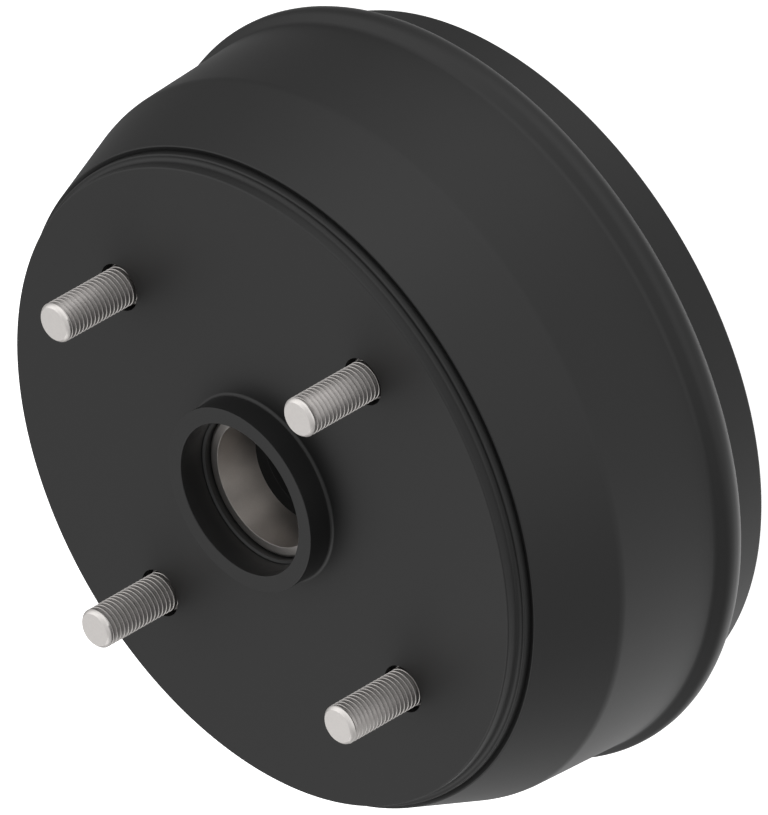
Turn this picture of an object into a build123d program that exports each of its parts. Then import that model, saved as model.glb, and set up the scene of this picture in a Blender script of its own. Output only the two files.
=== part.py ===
"""Trailer brake drum with its hub: one iron casting, four pressed-in wheel studs and two bearing cups.

The drum stands on its open rim. The origin is the centre of that rim, +Z runs up the axle line
to the wheel side, and the first stud lies on +X. All sizes are in millimetres.
"""

import os
from math import cos, hypot, radians, sin, tan

from build123d import *

os.makedirs("parts", exist_ok=True)

# Friction surface and the inside of the drum, from the open rim inwards
friction_radius = 100.0
friction_width = 53.0
rim_step = 1.5
rim_bore_depth = 7.0
relief_depth = 1.2
relief_width = 3.0
inner_cone_length = 18.9
inner_corner_fillet = 8.0
plate_thickness = 10.0

# Walls and the outside of the drum
rim_wall = 4.9
rim_depth = 14.8
rim_edge_round = 0.8
rim_root_fillet = 1.5
lip_rise = 2.7
lip_width = 7.6
lip_ramp_angle = 38.0
lip_back_round = 5.7
lip_edge_round = 4.0
lip_root_fillet = 3.0
drum_wall = 11.4
draft_angle = 2.8
cone_foot_round = 9.0
cone_length = 26.0
cone_angle = 19.75
cone_wall = 10.5
cone_edge_round = 0.4

# Turned steps between the cone and the wheel face
groove_width = 1.55
groove_depth = 0.5
ledge_height = 2.2
ledge_width = 2.0
ledge_edge_round = 0.5
ledge_root_fillet = 1.3
face_height = 4.5
face_edge_round = 0.55

# Bearing cups, and how deep each one lies in its seat
outer_cup_radius = 22.62
outer_cup_width = 12.07
outer_cup_front_wall = 3.42
outer_cup_rear_wall = 6.52
outer_cup_recess = 1.45
inner_cup_radius = 29.57
inner_cup_width = 11.68
inner_cup_front_wall = 5.27
inner_cup_rear_wall = 2.57
inner_cup_recess = 1.5
cup_corner_round = 1.3
race_edge_round = 0.2

# Hub bores around the cups
cap_bore_step = 0.88
cap_bore_depth = 8.3
cap_bore_edge_round = 0.3
seat_lead_in = 0.55
seat_corner_fillet = 0.6
outer_shoulder_rise = 5.22
outer_shoulder_length = 4.6
inner_shoulder_rise = 4.07
core_corner_fillet = 3.0
seal_bore_step = 2.98
seal_bore_depth = 9.0
seal_bore_chamfer = 1.0
bore_edge_round = 0.4

# Hub barrel and the pilot collar at its nose
pilot_wall = 5.0
pilot_height = 8.5
pilot_edge_round = 0.2
pilot_root_fillet = 1.0
hub_front_wall = 11.38
hub_rear_wall = 7.45
hub_rear_length = 30.0
hub_taper_length = 14.0
hub_taper_round = 8.0
hub_root_fillet = 5.0
hub_edge_round = 1.5
hub_end_height = 16.0

# Wheel studs
stud_count = 4
stud_circle_radius = 69.85
stud_radius = 6.0
stud_standout = 25.9
stud_tip_chamfer = 1.1
stud_hole_gap = 1.25
knurl_length = 7.0
knurl_lead_chamfer = 0.6
stud_head_radius = 11.0
stud_head_thickness = 4.5
stud_head_round = 0.8

# Heights of the inside, up to the wheel face
friction_foot_height = rim_bore_depth + rim_step
friction_top_height = friction_foot_height + friction_width
relief_top_height = friction_top_height + relief_width
plate_rear_height = relief_top_height + inner_cone_length
face_top_height = plate_rear_height + plate_thickness

# Radii and heights of the outside
rim_bore_radius = friction_radius + rim_step
rim_outer_radius = rim_bore_radius + rim_wall
ledge_top_height = face_top_height - face_height
cone_top_height = ledge_top_height - ledge_height
cone_foot_height = cone_top_height - cone_length
cone_foot_radius = friction_radius + drum_wall
cone_top_radius = cone_foot_radius - cone_length * tan(radians(cone_angle))
ledge_radius = cone_top_radius - groove_width
face_radius = ledge_radius - ledge_width
lip_top_height = rim_depth + lip_width
ramp_top_height = lip_top_height + lip_rise / tan(radians(lip_ramp_angle))
ramp_top_radius = cone_foot_radius + (cone_foot_height - ramp_top_height) * tan(radians(draft_angle))
lip_radius = ramp_top_radius + lip_rise

# Radii and heights of the hub
cap_bore_radius = outer_cup_radius + cap_bore_step
pilot_radius = cap_bore_radius + pilot_wall
hub_front_radius = outer_cup_radius + hub_front_wall
outer_shoulder_radius = outer_cup_radius - outer_shoulder_rise
core_radius = inner_cup_radius - inner_shoulder_rise
seal_bore_radius = inner_cup_radius + seal_bore_step
hub_rear_radius = seal_bore_radius + hub_rear_wall
pilot_top_height = face_top_height + pilot_height
cap_floor_height = pilot_top_height - cap_bore_depth
outer_cup_front_height = cap_floor_height - seat_lead_in - outer_cup_recess
outer_cup_rear_height = outer_cup_front_height - outer_cup_width
core_top_height = outer_cup_rear_height - outer_shoulder_length
seal_floor_height = hub_end_height + seal_bore_depth
inner_cup_rear_height = seal_floor_height + inner_cup_recess
inner_cup_front_height = inner_cup_rear_height + inner_cup_width
hub_taper_foot_height = hub_end_height + hub_rear_length
hub_taper_top_height = hub_taper_foot_height + hub_taper_length

# Heights and radii of the studs
stud_hole_radius = stud_radius + stud_hole_gap
knurl_top_height = plate_rear_height + knurl_length
stud_tip_height = face_top_height + stud_standout


def inner_cone_radius(height):
    """Radius of the cone inside the drum, which runs parallel to the one outside."""
    outside = cone_top_radius + (cone_top_height - height) * tan(radians(cone_angle))
    return outside - cone_wall / cos(radians(cone_angle))


def fitted_rounds(corners):
    """Corner radii, each made smaller where the two sides beside it are too short for it."""
    sides = []
    reaches = []
    for here, (x, y, corner_round) in enumerate(corners):
        from_x, from_y, _ = corners[here - 1]
        to_x, to_y, _ = corners[(here + 1) % len(corners)]
        side_in = hypot(x - from_x, y - from_y)
        side_out = hypot(to_x - x, to_y - y)
        turn_cosine = ((x - from_x) * (to_x - x) + (y - from_y) * (to_y - y)) / (side_in * side_out)
        sides.append(side_out)
        reaches.append(corner_round * ((1 - turn_cosine) / (1 + turn_cosine)) ** 0.5)
    rounds = []
    for here, (x, y, corner_round) in enumerate(corners):
        after = (here + 1) % len(corners)
        wanted_in = max(reaches[here - 1] + reaches[here], sides[here - 1])
        wanted_out = max(reaches[here] + reaches[after], sides[here])
        room = min(sides[here - 1] / wanted_in, sides[here] / wanted_out)
        rounds.append(corner_round if room == 1 else 0.98 * room * corner_round)
    return rounds


def turned_outline(corners):
    """Closed outline in a plane through the axis, from (radius, height, corner round) points."""
    points = [(x, y) for x, y, corner_round in corners]
    return FilletPolyline(points, radius=fitted_rounds(corners), close=True)


# Brake drum and hub, cast in one piece and turned
drum_outside = [
    (rim_outer_radius, 0, rim_edge_round),
    (rim_outer_radius, rim_depth, rim_root_fillet),
    (lip_radius, rim_depth, lip_back_round),
    (lip_radius, lip_top_height, lip_edge_round),
    (ramp_top_radius, ramp_top_height, lip_root_fillet),
    (cone_foot_radius, cone_foot_height, cone_foot_round),
    (cone_top_radius, cone_top_height, cone_edge_round),
    (ledge_radius, cone_top_height - groove_depth, 0),
    (ledge_radius, ledge_top_height, ledge_edge_round),
    (face_radius, ledge_top_height, ledge_root_fillet),
    (face_radius, face_top_height, face_edge_round),
    (pilot_radius, face_top_height, pilot_root_fillet),
    (pilot_radius, pilot_top_height, pilot_edge_round),
]
hub_bores = [
    (cap_bore_radius, pilot_top_height, cap_bore_edge_round),
    (cap_bore_radius, cap_floor_height, 0),
    (outer_cup_radius + seat_lead_in, cap_floor_height, 0),
    (outer_cup_radius, cap_floor_height - seat_lead_in, 0),
    (outer_cup_radius, outer_cup_rear_height, seat_corner_fillet),
    (outer_shoulder_radius, outer_cup_rear_height, bore_edge_round),
    (outer_shoulder_radius, core_top_height, bore_edge_round),
    (core_radius, core_top_height, core_corner_fillet),
    (core_radius, inner_cup_front_height, bore_edge_round),
    (inner_cup_radius, inner_cup_front_height, seat_corner_fillet),
    (inner_cup_radius, seal_floor_height, bore_edge_round),
    (seal_bore_radius, seal_floor_height, 0),
    (seal_bore_radius, hub_end_height + seal_bore_chamfer, 0),
    (seal_bore_radius + seal_bore_chamfer, hub_end_height, 0),
]
drum_inside = [
    (hub_rear_radius, hub_end_height, hub_edge_round),
    (hub_rear_radius, hub_taper_foot_height, hub_taper_round),
    (hub_front_radius, hub_taper_top_height, hub_taper_round),
    (hub_front_radius, plate_rear_height, hub_root_fillet),
    (inner_cone_radius(plate_rear_height), plate_rear_height, inner_corner_fillet),
    (inner_cone_radius(relief_top_height), relief_top_height, 0),
    (friction_radius + relief_depth, relief_top_height, relief_depth / 2),
    (friction_radius + relief_depth, friction_top_height, relief_depth / 2),
    (friction_radius, friction_top_height, 0),
    (friction_radius, friction_foot_height, 0),
    (rim_bore_radius, rim_bore_depth, 0),
    (rim_bore_radius, 0, rim_edge_round),
]

with BuildPart() as brake_drum:
    with BuildSketch(Plane.XZ):
        with BuildLine():
            turned_outline(drum_outside + hub_bores + drum_inside)
        make_face()
    revolve(axis=Axis.Z)
    with Locations((0, 0, face_top_height)):
        with PolarLocations(stud_circle_radius, stud_count):
            Hole(stud_hole_radius, depth=plate_thickness)
brake_drum.part.label = "brake_drum"
export_step(brake_drum.part, "parts/brake_drum.step")


# Outer bearing cup, pressed in from the nose against its shoulder
outer_cup_outline = [
    (outer_cup_radius, outer_cup_rear_height, cup_corner_round),
    (outer_cup_radius, outer_cup_front_height, cup_corner_round),
    (outer_cup_radius - outer_cup_front_wall, outer_cup_front_height, race_edge_round),
    (outer_cup_radius - outer_cup_rear_wall, outer_cup_rear_height, race_edge_round),
]
with BuildPart() as outer_bearing_cup:
    with BuildSketch(Plane.XZ):
        with BuildLine():
            turned_outline(outer_cup_outline)
        make_face()
    revolve(axis=Axis.Z)
outer_bearing_cup.part.label = "outer_bearing_cup"
export_step(outer_bearing_cup.part, "parts/outer_bearing_cup.step")


# Inner bearing cup, pressed in from the open side against the end of the core
inner_cup_outline = [
    (inner_cup_radius, inner_cup_rear_height, cup_corner_round),
    (inner_cup_radius, inner_cup_front_height, cup_corner_round),
    (inner_cup_radius - inner_cup_front_wall, inner_cup_front_height, race_edge_round),
    (inner_cup_radius - inner_cup_rear_wall, inner_cup_rear_height, race_edge_round),
]
with BuildPart() as inner_bearing_cup:
    with BuildSketch(Plane.XZ):
        with BuildLine():
            turned_outline(inner_cup_outline)
        make_face()
    revolve(axis=Axis.Z)
inner_bearing_cup.part.label = "inner_bearing_cup"
export_step(inner_bearing_cup.part, "parts/inner_bearing_cup.step")


# Wheel studs, pressed in from behind the plate until the heads seat
stud_outline = [
    (0, plate_rear_height - stud_head_thickness, 0),
    (stud_head_radius, plate_rear_height - stud_head_thickness, stud_head_round),
    (stud_head_radius, plate_rear_height, 0),
    (stud_hole_radius, plate_rear_height, 0),
    (stud_hole_radius, knurl_top_height - knurl_lead_chamfer, 0),
    (stud_hole_radius - knurl_lead_chamfer, knurl_top_height, 0),
    (stud_radius, knurl_top_height, 0),
    (stud_radius, stud_tip_height - stud_tip_chamfer, 0),
    (stud_radius - stud_tip_chamfer, stud_tip_height, 0),
    (0, stud_tip_height, 0),
]
for number in range(stud_count):
    angle = radians(360 / stud_count * number)
    stud_place = (stud_circle_radius * cos(angle), stud_circle_radius * sin(angle), 0)
    with BuildPart() as wheel_stud:
        with BuildSketch(Plane(origin=stud_place, x_dir=(1, 0, 0), z_dir=(0, -1, 0))):
            with BuildLine():
                turned_outline(stud_outline)
            make_face()
        revolve(axis=Axis(stud_place, (0, 0, 1)))
    wheel_stud.part.label = f"wheel_stud_{number + 1}"
    export_step(wheel_stud.part, f"parts/wheel_stud_{number + 1}.step")
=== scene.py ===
from math import atan2, ceil, copysign, cos, hypot, pi, radians, sin, tan

import bmesh
import bpy
from mathutils import Matrix, Quaternion, Vector


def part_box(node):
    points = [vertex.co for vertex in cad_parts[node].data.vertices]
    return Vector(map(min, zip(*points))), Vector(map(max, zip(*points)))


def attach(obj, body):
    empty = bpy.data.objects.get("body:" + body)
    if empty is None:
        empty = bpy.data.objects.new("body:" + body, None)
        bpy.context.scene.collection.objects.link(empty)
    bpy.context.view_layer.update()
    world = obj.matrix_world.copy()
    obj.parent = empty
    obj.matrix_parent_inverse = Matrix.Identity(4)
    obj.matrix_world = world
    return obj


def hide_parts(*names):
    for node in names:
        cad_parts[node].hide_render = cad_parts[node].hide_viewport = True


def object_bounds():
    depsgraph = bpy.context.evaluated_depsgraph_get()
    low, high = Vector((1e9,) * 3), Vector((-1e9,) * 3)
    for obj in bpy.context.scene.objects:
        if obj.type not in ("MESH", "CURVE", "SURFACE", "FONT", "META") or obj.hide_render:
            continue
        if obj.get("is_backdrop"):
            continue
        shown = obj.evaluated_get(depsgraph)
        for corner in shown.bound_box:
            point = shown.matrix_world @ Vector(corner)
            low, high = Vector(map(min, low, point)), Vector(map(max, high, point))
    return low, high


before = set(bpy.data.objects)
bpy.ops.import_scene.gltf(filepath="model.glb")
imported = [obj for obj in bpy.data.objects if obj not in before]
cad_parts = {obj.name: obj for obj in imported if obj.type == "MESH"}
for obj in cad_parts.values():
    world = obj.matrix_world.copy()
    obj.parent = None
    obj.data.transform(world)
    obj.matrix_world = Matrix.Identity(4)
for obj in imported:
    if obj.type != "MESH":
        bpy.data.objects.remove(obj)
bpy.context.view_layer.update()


# The drum and its hub are one grey-iron casting, turned outside and bored through on the axle line.
# It carries a thin satin black coating, and four plain holes in its plate take the wheel studs.
# The band that the shoes sweep, and the bore and groove beside it, are machined bare after coating.
mm = 0.001
segments_around = 288
arc_step = radians(11)
sharp_angle = radians(28)
share_of_room = 0.98

# Friction band and the inside of the drum, from the open rim inwards
friction_radius = 100 * mm
friction_width = 53 * mm
rim_step = 1.5 * mm
rim_bore_depth = 7 * mm
relief_depth = 1.2 * mm
relief_width = 3 * mm
inner_cone_length = 18.9 * mm
plate_thickness = 10 * mm
friction_foot_height = rim_bore_depth + rim_step
friction_top_height = friction_foot_height + friction_width
relief_top_height = friction_top_height + relief_width
plate_rear_height = relief_top_height + inner_cone_length
face_height = plate_rear_height + plate_thickness
rim_bore_radius = friction_radius + rim_step
inner_corner_fillet = 8 * mm

# Outside of the drum: rim, lip, slightly tapered wall, cone, and two turned steps up to the face
rim_wall = 4.9 * mm
rim_depth = 14.8 * mm
rim_edge_round = 0.8 * mm
rim_root_fillet = 1.5 * mm
lip_rise = 2.7 * mm
lip_width = 7.6 * mm
lip_ramp_angle = radians(38)
lip_back_round = 5.7 * mm
lip_edge_round = 4 * mm
lip_root_fillet = 3 * mm
drum_wall = 11.4 * mm
wall_draft = radians(2.8)
cone_length = 26 * mm
cone_angle = radians(19.75)
cone_foot_round = 9 * mm
cone_edge_round = 0.4 * mm
cone_wall = 10.5 * mm
groove_width = 1.55 * mm
groove_depth = 0.5 * mm
ledge_rise = 2.2 * mm
ledge_width = 2 * mm
ledge_edge_round = 0.5 * mm
ledge_root_fillet = 1.3 * mm
face_rise = 4.5 * mm
face_edge_round = 0.55 * mm
rim_outer_radius = rim_bore_radius + rim_wall
ledge_height = face_height - face_rise
cone_top_height = ledge_height - ledge_rise
cone_foot_height = cone_top_height - cone_length
cone_foot_radius = friction_radius + drum_wall
cone_top_radius = cone_foot_radius - cone_length * tan(cone_angle)
ledge_radius = cone_top_radius - groove_width
face_radius = ledge_radius - ledge_width
lip_top_height = rim_depth + lip_width
ramp_top_height = lip_top_height + lip_rise / tan(lip_ramp_angle)
ramp_top_radius = cone_foot_radius + (cone_foot_height - ramp_top_height) * tan(wall_draft)
lip_radius = ramp_top_radius + lip_rise

# Hub: a pilot collar at its nose, the seats of two bearing cups, and a bore for the seal
outer_cup_radius = 22.62 * mm
outer_cup_width = 12.07 * mm
inner_cup_radius = 29.57 * mm
inner_cup_width = 11.68 * mm
cup_recess = 1.45 * mm
inner_cup_recess = 1.5 * mm
cap_bore_radius = outer_cup_radius + 0.88 * mm
cap_bore_depth = 8.3 * mm
cap_bore_edge_round = 0.3 * mm
seat_lead_in = 0.55 * mm
seat_fillet = 0.6 * mm
outer_shoulder_radius = outer_cup_radius - 5.22 * mm
outer_shoulder_length = 4.6 * mm
core_radius = inner_cup_radius - 4.07 * mm
core_corner_fillet = 3 * mm
seal_bore_radius = inner_cup_radius + 2.98 * mm
seal_bore_depth = 9 * mm
seal_bore_chamfer = 1 * mm
bore_edge_round = 0.4 * mm
pilot_radius = cap_bore_radius + 5 * mm
pilot_rise = 8.5 * mm
pilot_edge_round = 0.2 * mm
pilot_root_fillet = 1 * mm
hub_front_radius = outer_cup_radius + 11.38 * mm
hub_rear_radius = seal_bore_radius + 7.45 * mm
hub_end_height = 16 * mm
hub_taper_foot_height = hub_end_height + 30 * mm
hub_taper_top_height = hub_taper_foot_height + 14 * mm
hub_taper_round = 8 * mm
hub_root_fillet = 5 * mm
hub_edge_round = 1.5 * mm
pilot_top_height = face_height + pilot_rise
cap_floor_height = pilot_top_height - cap_bore_depth
outer_cup_front_height = cap_floor_height - seat_lead_in - cup_recess
outer_cup_rear_height = outer_cup_front_height - outer_cup_width
core_top_height = outer_cup_rear_height - outer_shoulder_length
seal_floor_height = hub_end_height + seal_bore_depth
inner_cup_rear_height = seal_floor_height + inner_cup_recess
inner_cup_front_height = inner_cup_rear_height + inner_cup_width

# Holes for the studs
stud_count = 4
stud_circle_radius = 69.85 * mm
stud_hole_radius = 7.25 * mm
drill_overrun = 1 * mm
drill_segments = 96


def inner_cone_radius(height):
    """Radius of the cone inside the drum, which runs parallel to the one outside."""
    return cone_top_radius + (cone_top_height - height) * tan(cone_angle) - cone_wall / cos(cone_angle)


# Each corner is (radius, height, corner round): up the outside, down the bores, up the hub, down the inside
drum_corners = [
    (rim_outer_radius, 0, rim_edge_round),
    (rim_outer_radius, rim_depth, rim_root_fillet),
    (lip_radius, rim_depth, lip_back_round),
    (lip_radius, lip_top_height, lip_edge_round),
    (ramp_top_radius, ramp_top_height, lip_root_fillet),
    (cone_foot_radius, cone_foot_height, cone_foot_round),
    (cone_top_radius, cone_top_height, cone_edge_round),
    (ledge_radius, cone_top_height - groove_depth, 0),
    (ledge_radius, ledge_height, ledge_edge_round),
    (face_radius, ledge_height, ledge_root_fillet),
    (face_radius, face_height, face_edge_round),
    (pilot_radius, face_height, pilot_root_fillet),
    (pilot_radius, pilot_top_height, pilot_edge_round),
    (cap_bore_radius, pilot_top_height, cap_bore_edge_round),
    (cap_bore_radius, cap_floor_height, 0),
    (outer_cup_radius + seat_lead_in, cap_floor_height, 0),
    (outer_cup_radius, cap_floor_height - seat_lead_in, 0),
    (outer_cup_radius, outer_cup_rear_height, seat_fillet),
    (outer_shoulder_radius, outer_cup_rear_height, bore_edge_round),
    (outer_shoulder_radius, core_top_height, bore_edge_round),
    (core_radius, core_top_height, core_corner_fillet),
    (core_radius, inner_cup_front_height, bore_edge_round),
    (inner_cup_radius, inner_cup_front_height, seat_fillet),
    (inner_cup_radius, seal_floor_height, bore_edge_round),
    (seal_bore_radius, seal_floor_height, 0),
    (seal_bore_radius, hub_end_height + seal_bore_chamfer, 0),
    (seal_bore_radius + seal_bore_chamfer, hub_end_height, 0),
    (hub_rear_radius, hub_end_height, hub_edge_round),
    (hub_rear_radius, hub_taper_foot_height, hub_taper_round),
    (hub_front_radius, hub_taper_top_height, hub_taper_round),
    (hub_front_radius, plate_rear_height, hub_root_fillet),
    (inner_cone_radius(plate_rear_height), plate_rear_height, inner_corner_fillet),
    (inner_cone_radius(relief_top_height), relief_top_height, 0),
    (friction_radius + relief_depth, relief_top_height, relief_depth / 2),
    (friction_radius + relief_depth, friction_top_height, relief_depth / 2),
    (friction_radius, friction_top_height, 0),
    (friction_radius, friction_foot_height, 0),
    (rim_bore_radius, rim_bore_depth, 0),
    (rim_bore_radius, 0, rim_edge_round),
]


def fitted_rounds(corners):
    """Corner radii, each made smaller where the two sides beside it are too short for it."""
    sides = []
    reaches = []
    for here, (x, y, corner_round) in enumerate(corners):
        from_x, from_y, _ = corners[here - 1]
        to_x, to_y, _ = corners[(here + 1) % len(corners)]
        side_in = hypot(x - from_x, y - from_y)
        side_out = hypot(to_x - x, to_y - y)
        turn_cosine = ((x - from_x) * (to_x - x) + (y - from_y) * (to_y - y)) / (side_in * side_out)
        sides.append(side_out)
        reaches.append(corner_round * ((1 - turn_cosine) / (1 + turn_cosine)) ** 0.5)
    rounds = []
    for here, (x, y, corner_round) in enumerate(corners):
        after = (here + 1) % len(corners)
        wanted_in = max(reaches[here - 1] + reaches[here], sides[here - 1])
        wanted_out = max(reaches[here] + reaches[after], sides[here])
        room = min(sides[here - 1] / wanted_in, sides[here] / wanted_out)
        rounds.append(corner_round if room == 1 else share_of_room * room * corner_round)
    return rounds


def turned_outline(corners):
    """Points along a closed outline: straight sides, and an arc at each rounded corner."""
    points = []
    for here, corner_round in enumerate(fitted_rounds(corners)):
        corner = Vector(corners[here][:2])
        if not corner_round:
            points.append(corner)
            continue
        arriving = (corner - Vector(corners[here - 1][:2])).normalized()
        leaving = (Vector(corners[(here + 1) % len(corners)][:2]) - corner).normalized()
        turn = atan2(arriving.cross(leaving), arriving.dot(leaving))
        start = corner - arriving * corner_round * tan(abs(turn) / 2)
        centre = start + Vector((-arriving.y, arriving.x)) * copysign(corner_round, turn)
        steps = ceil(abs(turn) / arc_step)
        for step in range(steps + 1):
            points.append(centre + Matrix.Rotation(turn * step / steps, 2) @ (start - centre))
    return points


def turned_piece(name, corners):
    """An object made by turning a closed outline round the axle line."""
    outline = turned_outline(corners)
    points = []
    faces = []
    for column in range(segments_around):
        angle = 2 * pi * column / segments_around
        points += [(radius * cos(angle), radius * sin(angle), height) for radius, height in outline]
        this = column * len(outline)
        after = (column + 1) % segments_around * len(outline)
        for row in range(len(outline)):
            above = (row + 1) % len(outline)
            faces.append((this + row, after + row, after + above, this + above))
    mesh = bpy.data.meshes.new(name)
    mesh.from_pydata(points, [], faces)
    piece = bpy.data.objects.new(name, mesh)
    bpy.context.scene.collection.objects.link(piece)
    return piece


def shade_smooth(piece):
    """Smooth shading that leaves flat faces flat and edges past the sharp angle crisp."""
    piece.data.shade_smooth()
    piece.data.set_sharp_from_angle(angle=sharp_angle)
    piece.modifiers.new("flat_faces_lead", "WEIGHTED_NORMAL").keep_sharp = True


def drill_stud_holes(piece):
    """Cut the four stud holes through the plate, and leave the result as the piece's own mesh."""
    drills = bmesh.new()
    for number in range(stud_count):
        turn = Matrix.Rotation(2 * pi * number / stud_count, 4, "Z")
        place = Matrix.Translation((stud_circle_radius, 0, face_height - plate_thickness / 2))
        bmesh.ops.create_cone(
            drills, cap_ends=True, segments=drill_segments, matrix=turn @ place,
            radius1=stud_hole_radius, radius2=stud_hole_radius, depth=plate_thickness + 2 * drill_overrun,
        )
    drill_mesh = bpy.data.meshes.new("drills")
    drills.to_mesh(drill_mesh)
    drills.free()
    drill = bpy.data.objects.new("drills", drill_mesh)
    bpy.context.scene.collection.objects.link(drill)
    cut = piece.modifiers.new("stud_holes", "BOOLEAN")
    cut.operation = "DIFFERENCE"
    cut.solver = "EXACT"
    cut.object = drill
    evaluated = piece.evaluated_get(bpy.context.evaluated_depsgraph_get())
    drilled = bpy.data.meshes.new_from_object(evaluated)
    piece.modifiers.clear()
    piece.data = drilled
    bpy.data.objects.remove(drill)


class Socket:
    """An output of a shader node, with the tree it is in; arithmetic on it adds Math nodes."""

    def __init__(self, tree, output=None):
        self.tree = tree
        self.output = output

    def fill(self, node, values):
        """Set a node's sockets by identifier: another Socket is linked, anything else is a value."""
        for socket in node.inputs:
            value = values.get(socket.identifier)
            if isinstance(value, Socket):
                self.tree.links.new(value.output, socket)
            elif value is not None:
                socket.default_value = value

    def node(self, kind, settings=None, values=None, output=0):
        """A new node of this tree, with its settings made first, as a Socket of its output."""
        made = self.tree.nodes.new(kind)
        for name, setting in (settings or {}).items():
            setattr(made, name, setting)
        self.fill(made, values or {})
        return Socket(self.tree, made.outputs[output])

    def maths(self, operation, *values):
        """A Math node with this operation, on up to three Sockets or numbers."""
        places = ("Value", "Value_001", "Value_002")
        return self.node("ShaderNodeMath", {"operation": operation}, dict(zip(places, values)))

    def __add__(self, other):
        return self.maths("ADD", self, other)

    def __sub__(self, other):
        return self.maths("SUBTRACT", self, other)

    def __rsub__(self, other):
        return self.maths("SUBTRACT", other, self)

    def __mul__(self, other):
        return self.maths("MULTIPLY", self, other)

    def __pow__(self, other):
        return self.maths("POWER", self, other)

    def __gt__(self, other):
        return self.maths("GREATER_THAN", self, other)

    def __lt__(self, other):
        return self.maths("LESS_THAN", self, other)

    __radd__ = __add__
    __rmul__ = __mul__

    def part(self, axis):
        """The X, Y or Z part of a place or of a direction."""
        return self.node("ShaderNodeSeparateXYZ", values={"Vector": self}, output=axis)

    def blend(self, low, high):
        """The colour that goes from low to high as this value goes from 0 to 1."""
        values = {"Factor_Float": self, "A_Color": low, "B_Color": high}
        return self.node("ShaderNodeMix", {"data_type": "RGBA"}, values, "Result")

    def grain(self, size, detail=2):
        """Noise with grains of this size, in metres, when this is a place on the object."""
        values = {"Vector": self, "Scale": 1 / size, "Detail": detail}
        return self.node("ShaderNodeTexNoise", values=values)

    def relief(self, depth):
        """A bump of this depth in metres, when this is a height that goes from 0 to 1."""
        return self.node("ShaderNodeBump", values={"Strength": 1, "Distance": depth, "Height": self})


def new_finish(name):
    """A material, and the place on the object as a Socket of its tree."""
    material = bpy.data.materials.new(name)
    material.use_nodes = True
    return material, Socket(material.node_tree).node("ShaderNodeTexCoord", output="Object")


coat_colour = (0.004, 0.004, 0.004, 1)
coat_roughness = 0.5
coat_roughness_change = 0.02
coat_peel_size = 1.6 * mm
coat_peel_depth = 0.0012 * mm
casting_grain_size = 1.1 * mm
casting_grain_depth = 0.05 * mm
casting_roughness = 0.75
bare_iron_colour = (0.30, 0.29, 0.28, 1)
bare_iron_roughness = 0.36
bare_iron_roughness_change = 0.1
turning_pitch = 0.22 * mm
turning_depth = 0.004 * mm
mask_margin = 0.5 * mm
height_margin = 0.1 * mm

coated_iron, place = new_finish("satin_black_coating")
x, y, height = place.part("X"), place.part("Y"), place.part("Z")
radius = (x * x + y * y) ** 0.5

# Bare iron where a tool cut after the coating, and a rough skin where no tool reached
bare = (
    (radius > friction_radius - mask_margin)
    * (radius < rim_bore_radius + mask_margin)
    * (height < relief_top_height - height_margin)
)
as_cast = (
    (radius > hub_front_radius - mask_margin)
    * (radius < friction_radius - mask_margin)
    * (height < plate_rear_height + height_margin)
    + (radius < core_radius + mask_margin)
    * (height < outer_cup_rear_height - height_margin)
    * (height > inner_cup_front_height)
)
peel = place.grain(coat_peel_size)
casting = place.grain(casting_grain_size, detail=4)
turning = (height * (2 * pi / turning_pitch)).maths("SINE") * 0.5 + 0.5
surface = (
    (1 - bare) * (1 - as_cast) * peel * (coat_peel_depth / casting_grain_depth)
    + as_cast * casting
    + bare * turning * (turning_depth / casting_grain_depth)
)
peel.fill(coated_iron.node_tree.nodes["Principled BSDF"], {
    "Base Color": bare.blend(coat_colour, bare_iron_colour),
    "Metallic": bare,
    "Roughness": (
        coat_roughness + coat_roughness_change * (peel - 0.5)
        + bare * (bare_iron_roughness - coat_roughness + bare_iron_roughness_change * casting)
        + as_cast * (casting_roughness - coat_roughness)
    ),
    "Normal": surface.relief(casting_grain_depth),
})

drum = turned_piece("brake_drum_casting", drum_corners)
drill_stud_holes(drum)
drum.data.materials.append(coated_iron)
shade_smooth(drum)
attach(drum, "root")
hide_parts("brake_drum")


# The two bearing cups are rings of hardened chrome steel with ground conical races.
# Each is pressed into its seat: the outer one from the nose, the inner one from the open side.
# The grinding leaves the races satin grey with a fine speckle, and the ends a little brighter.
outer_cup_front_wall = 3.42 * mm
outer_cup_rear_wall = 6.52 * mm
inner_cup_front_wall = 5.27 * mm
inner_cup_rear_wall = 2.57 * mm
cup_corner_round = 1.3 * mm
race_edge_round = 0.05 * mm
speckle_size = 0.25 * mm
speckle_share = 0.6
speckle_depth = 0.001 * mm
stain_size = 4 * mm
steel_dark = (0.46, 0.435, 0.415, 1)
steel_light = (0.68, 0.65, 0.625, 1)
race_roughness = 0.28
race_roughness_change = 0.1
end_roughness_drop = 0.16
end_slope = 0.95
outer_cup_corners = [
    (outer_cup_radius, outer_cup_rear_height, cup_corner_round),
    (outer_cup_radius, outer_cup_front_height, cup_corner_round),
    (outer_cup_radius - outer_cup_front_wall, outer_cup_front_height, race_edge_round),
    (outer_cup_radius - outer_cup_rear_wall, outer_cup_rear_height, race_edge_round),
]
inner_cup_corners = [
    (inner_cup_radius, inner_cup_rear_height, cup_corner_round),
    (inner_cup_radius, inner_cup_front_height, cup_corner_round),
    (inner_cup_radius - inner_cup_front_wall, inner_cup_front_height, race_edge_round),
    (inner_cup_radius - inner_cup_rear_wall, inner_cup_rear_height, race_edge_round),
]

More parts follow.
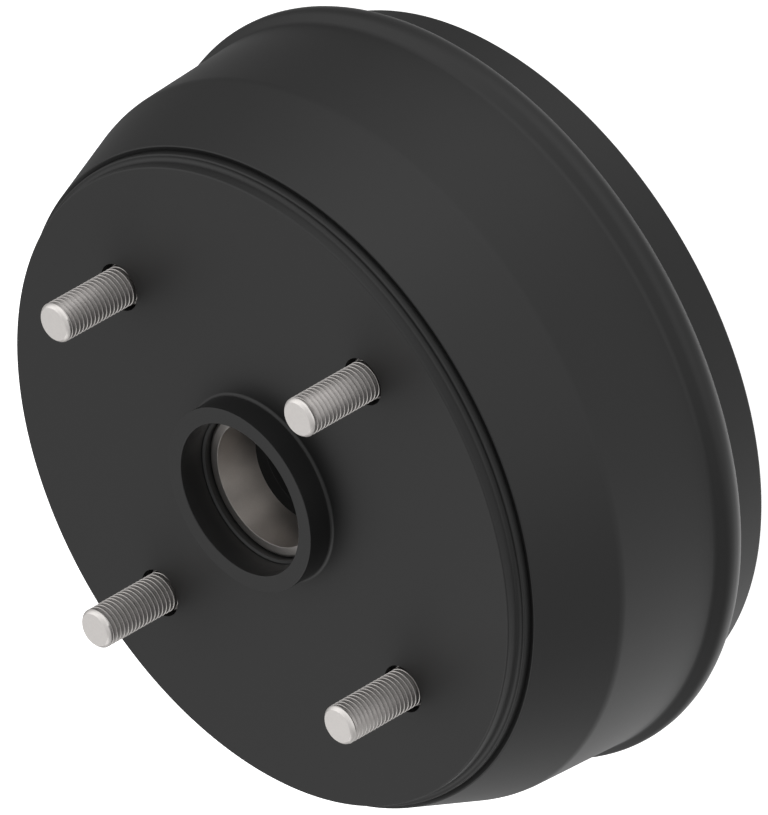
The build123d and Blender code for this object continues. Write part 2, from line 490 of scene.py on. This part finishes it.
ground_steel, place = new_finish("ground_bearing_steel")
speckle = place.grain(speckle_size)
stain = place.grain(stain_size)
cloudiness = speckle * speckle_share + stain * (1 - speckle_share)
end = place.node("ShaderNodeTexCoord", output="Normal").part("Z").maths("ABSOLUTE") > end_slope
speckle.fill(ground_steel.node_tree.nodes["Principled BSDF"], {
    "Base Color": cloudiness.blend(steel_dark, steel_light),
    "Metallic": 1,
    "Roughness": race_roughness + race_roughness_change * speckle - end_roughness_drop * end,
    "Normal": speckle.relief(speckle_depth),
})
for node, corners in (("outer_bearing_cup", outer_cup_corners), ("inner_bearing_cup", inner_cup_corners)):
    cup = turned_piece(node + "_ground", corners)
    cup.data.materials.append(ground_steel)
    shade_smooth(cup)
    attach(cup, "root")
    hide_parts(node)


# Each wheel stud is a cold-headed M12 x 1.5 steel bolt with a rolled thread and a zinc plating.
# Its knurled shank is pressed into the plate from behind, until the round head seats.
# The plating is a warm light grey and slightly mottled. The flat tip is painted in a brighter copy of it as
# a painted highlight, and the thread in a darker copy as painted shade.
stud_radius = 6 * mm
thread_pitch = 1.5 * mm
thread_depth = 0.3 * mm
thread_run_out = 2 * mm
thread_lead_in = 0.5 * mm
tip_length = 1.3 * mm
tip_inset = 0.95 * mm
tip_curve = 1.6
knurl_depth = 0.25 * mm
knurl_length = 7 * mm
knurl_lead = 0.6 * mm
head_radius = 11 * mm
head_round = 0.8 * mm
head_bevel = 0.3 * head_round
stud_columns = 96
merge_distance = 0.0001 * mm
spare_turns = 2

# One pitch of the rolled thread as (share of the pitch, share of the depth below the crest)
thread_form = [(0.00, 0.00), (0.07, 0.00), (0.14, 0.65), (0.62, 1.00), (0.80, 1.00), (0.95, 0.00)]

# Each stud was pressed in at its own angle, so its thread starts at its own share of a turn
thread_starts = {"wheel_stud_1": 0.4, "wheel_stud_2": 0.4, "wheel_stud_3": 0.74, "wheel_stud_4": 0.95}


def stud_mesh(name, axis, foot, tip, thread_start):
    """One stud as a closed skin: head, knurled shank, rolled thread and flat tip."""
    skin = bmesh.new()
    knurl_top = plate_rear_height + knurl_length

    def point(column, radius, height):
        angle = 2 * pi * column / stud_columns
        return skin.verts.new((axis.x + radius * cos(angle), axis.y + radius * sin(angle), height))

    def ring(radius, height, flute=0):
        return [point(column, radius - flute * (column % 2), height) for column in range(stud_columns)]

    def thread_point(column, row):
        share, depth = thread_form[row % len(thread_form)]
        turns = row // len(thread_form) - spare_turns + share + column / stud_columns + thread_start
        height = min(max(knurl_top + thread_pitch * turns, knurl_top), tip)
        run_out = min(1, (height - knurl_top) / thread_run_out)
        lead_in = min(1, max(0, (tip - tip_length - height) / thread_lead_in))
        into_tip = max(0, 1 - (tip - height) / tip_length)
        radius = stud_radius - thread_depth * depth * run_out * lead_in - tip_inset * into_tip ** tip_curve
        return point(column, radius, height)

    shank = [
        ring(head_radius - head_round, foot),
        ring(head_radius - head_bevel, foot + head_bevel),
        ring(head_radius, foot + head_round),
        ring(head_radius, plate_rear_height),
        ring(stud_hole_radius, plate_rear_height, knurl_depth),
        ring(stud_hole_radius, knurl_top - knurl_lead, knurl_depth),
        ring(stud_hole_radius - knurl_lead - knurl_depth, knurl_top),
        ring(stud_radius, knurl_top),
    ]
    for lower, upper in zip(shank, shank[1:]):
        for column in range(stud_columns):
            after = (column + 1) % stud_columns
            skin.faces.new((lower[column], lower[after], upper[after], upper[column]))
    skin.faces.new(reversed(shank[0]))

    rows = len(thread_form) * ceil((tip - knurl_top) / thread_pitch + 2 * spare_turns)
    columns = [[thread_point(column, row) for row in range(rows)] for column in range(stud_columns)]
    for column in range(stud_columns):
        # The last column meets the first one a whole pitch further up the thread
        after = (column + 1) % stud_columns
        climb = 0 if after else len(thread_form)
        for row in range(rows - 1 - climb):
            skin.faces.new((
                columns[column][row], columns[after][row + climb],
                columns[after][row + 1 + climb], columns[column][row + 1],
            ))
    skin.faces.new(ring(stud_radius - tip_inset, tip))
    bmesh.ops.remove_doubles(skin, verts=skin.verts, dist=merge_distance)
    bmesh.ops.dissolve_degenerate(skin, edges=skin.edges, dist=merge_distance)
    mesh = bpy.data.meshes.new(name)
    skin.to_mesh(mesh)
    skin.free()
    return mesh


mottle_size = 0.7 * mm
mottle_depth = 0.003 * mm
# One plating in two copies: the thread colours are darker as painted shade, and the tip colours are
# brighter as a painted highlight
shaded_thread_dark = (0.45, 0.43, 0.418, 1)
shaded_thread_light = (0.54, 0.516, 0.50, 1)
lit_tip_dark = (0.74, 0.71, 0.69, 1)
lit_tip_light = (0.82, 0.79, 0.765, 1)
zinc_roughness = 0.42
zinc_roughness_change = 0.08

zinc_plating, place = new_finish("zinc_plating")
mottle = place.grain(mottle_size, detail=3)
# Painted light: the brighter tip colours go above this height, and the darker painted-shade thread colours
# go below it
painted_lit_tip = place.part("Z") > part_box("wheel_stud_1")[1].z - tip_length
mottle.fill(zinc_plating.node_tree.nodes["Principled BSDF"], {
    "Base Color": painted_lit_tip.blend(mottle.blend(shaded_thread_dark, shaded_thread_light), mottle.blend(lit_tip_dark, lit_tip_light)),
    "Metallic": 1,
    "Roughness": zinc_roughness + zinc_roughness_change * mottle,
    "Normal": mottle.relief(mottle_depth),
})
for node, thread_start in thread_starts.items():
    low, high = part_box(node)
    mesh = stud_mesh(node + "_threaded", (low + high) / 2, low.z, high.z, thread_start)
    mesh.materials.append(zinc_plating)
    stud = bpy.data.objects.new(node + "_threaded", mesh)
    bpy.context.scene.collection.objects.link(stud)
    shade_smooth(stud)
    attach(stud, "root")
    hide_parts(node)


# The drum stands on a plain white floor, in soft studio light that comes from all round.
# Wide lamps far off make one side a little brighter than the other, and a soft box lights the face.
# The floor shows white to the camera, and the gloss of the metal sees the lamps through it.
floor_reach = 30
floor_colour = (0.8, 0.8, 0.8, 1)
glow_colour = (1, 1, 1, 1)
floor_mesh = bpy.data.meshes.new("floor")
floor_corners = [(x * floor_reach, y * floor_reach, 0) for x, y in ((-1, -1), (1, -1), (1, 1), (-1, 1))]
floor_mesh.from_pydata(floor_corners, [], [(0, 1, 2, 3)])
floor = bpy.data.objects.new("floor", floor_mesh)
bpy.context.scene.collection.objects.link(floor)
floor.visible_glossy = False
white, place = new_finish("white_floor")
place.fill(white.node_tree.nodes["Principled BSDF"], {
    "Base Color": floor_colour,
    "Emission Color": glow_colour,
    "Emission Strength": 1.0,
})
floor_mesh.materials.append(white)
floor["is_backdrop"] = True

# Each far lamp is (azimuth, elevation, power), and a higher narrowing makes all of them smaller
lamp_narrowing = 10
lamps = [
    (148, 0, 1.25), (-148, 0, 1.15), (90, 32, 1.15), (45, 35, 0.58), (-45, 35, 0.45),
    (0, 58, 0.34), (180, 69, 0.54), (-118, 40, 0.16), (135, -35, 0.52), (-90, -32, 0.5), (0, -69, 0.5),
    (-30, -58, 1.6),
]
room = bpy.data.worlds.new("room")
room.use_nodes = True
way = Socket(room.node_tree).node("ShaderNodeTexCoord", output="Generated")
light = 0
for azimuth, elevation, power in lamps:
    level = cos(radians(elevation))
    lamp = (level * sin(radians(azimuth)), level * cos(radians(azimuth)), sin(radians(elevation)))
    facing = way.node(
        "ShaderNodeVectorMath", {"operation": "DOT_PRODUCT"}, {"Vector": way, "Vector_001": lamp}, "Value",
    )
    light = light + power * (facing * 0.5 + 0.5) ** lamp_narrowing
seen = way.node("ShaderNodeLightPath", output="Is Camera Ray")
way.fill(room.node_tree.nodes["Background"], {"Color": seen + (1 - seen) * light, "Strength": 1})
bpy.context.scene.world = room

softbox_way = Vector((-0.5, 0.6, 0.64)).normalized()
softbox_distance = 1.1
softbox_size = 0.8
softbox_power = 2.0
softbox_data = bpy.data.lights.new("softbox", "AREA")
softbox_data.size = softbox_size
softbox_data.energy = softbox_power
softbox = bpy.data.objects.new("softbox", softbox_data)
softbox.location = softbox_way * softbox_distance
softbox.rotation_mode = "QUATERNION"
softbox.rotation_quaternion = softbox_way.to_track_quat("Z", "Y")
softbox.visible_camera = False
bpy.context.scene.collection.objects.link(softbox)
bpy.context.scene.view_settings.view_transform = "Standard"


# The camera looks down on the wheel side from far off, rolled so that the axle line runs to lower left.
# It aims at a point beside the collar's front, which puts the whole drum in the middle of the picture.
# The view width holds at the drum's middle depth.
camera_azimuth = radians(-9.65)
camera_elevation = radians(35.26)
camera_roll = radians(-119.66)
aim_drop = 48.3 * mm
aim_shift = 2.5 * mm
lens = 1600
sensor = 36
view_width = 229.9 * mm
middle_depth = 26 * mm
farthest_seen = 40
level = cos(camera_elevation)
back = Vector((sin(camera_azimuth) * level, -cos(camera_azimuth) * level, sin(camera_elevation)))
turn = back.to_track_quat("Z", "Y")
aim = Vector((0, 0, pilot_top_height)) + turn @ Vector((aim_shift, -aim_drop, 0))
camera_data = bpy.data.cameras.new("camera")
camera_data.lens = lens
camera_data.sensor_width = sensor
camera_data.clip_end = farthest_seen
camera = bpy.data.objects.new("camera", camera_data)
camera.rotation_mode = "QUATERNION"
camera.rotation_quaternion = turn @ Quaternion((0, 0, 1), camera_roll)
camera.location = aim + back * (view_width * lens / sensor - middle_depth)
bpy.context.scene.collection.objects.link(camera)
bpy.context.scene.camera = camera

low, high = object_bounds()
